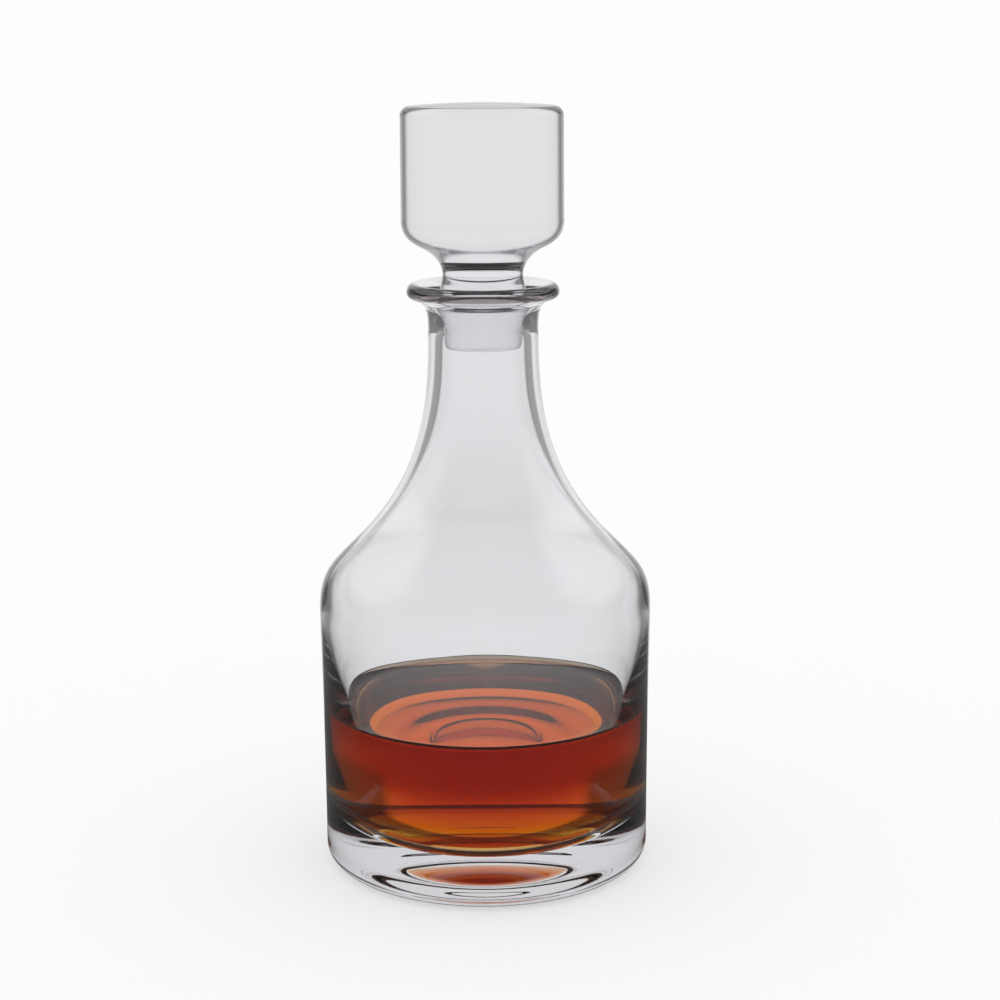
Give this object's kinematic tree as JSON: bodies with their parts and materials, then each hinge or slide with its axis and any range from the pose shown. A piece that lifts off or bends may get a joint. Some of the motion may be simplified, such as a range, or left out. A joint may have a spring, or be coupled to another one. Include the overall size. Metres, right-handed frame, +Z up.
{
  "type": "liquor decanter",
  "caption": "Round clear-glass spirit decanter with a thick base, round shoulder, long neck, flared lip and a solid ground-in stopper, part filled with whisky.",
  "frame": {"origin": "middle of the base, on the surface that the decanter stands on", "axes": "+Z up along the axis of the decanter, from the base to the stopper; the form is round, so X and Y are alike"},
  "size_m": [0.1114, 0.1114, 0.2549],
  "materials": {
    "body_glass": "polished",
    "stopper_glass": "polished",
    "whisky": "polished"
  },
  "bodies": {
    "decanter": {"decanter_body": "body_glass", "whisky": "whisky"},
    "stopper": {"stopper": "stopper_glass"}
  },
  "joints": [
    {"name": "stopper_lift", "type": "slide", "parent": "decanter", "child": "stopper", "axis": [0, 0, 1], "range_m": [0, 0.06]}
  ]
}
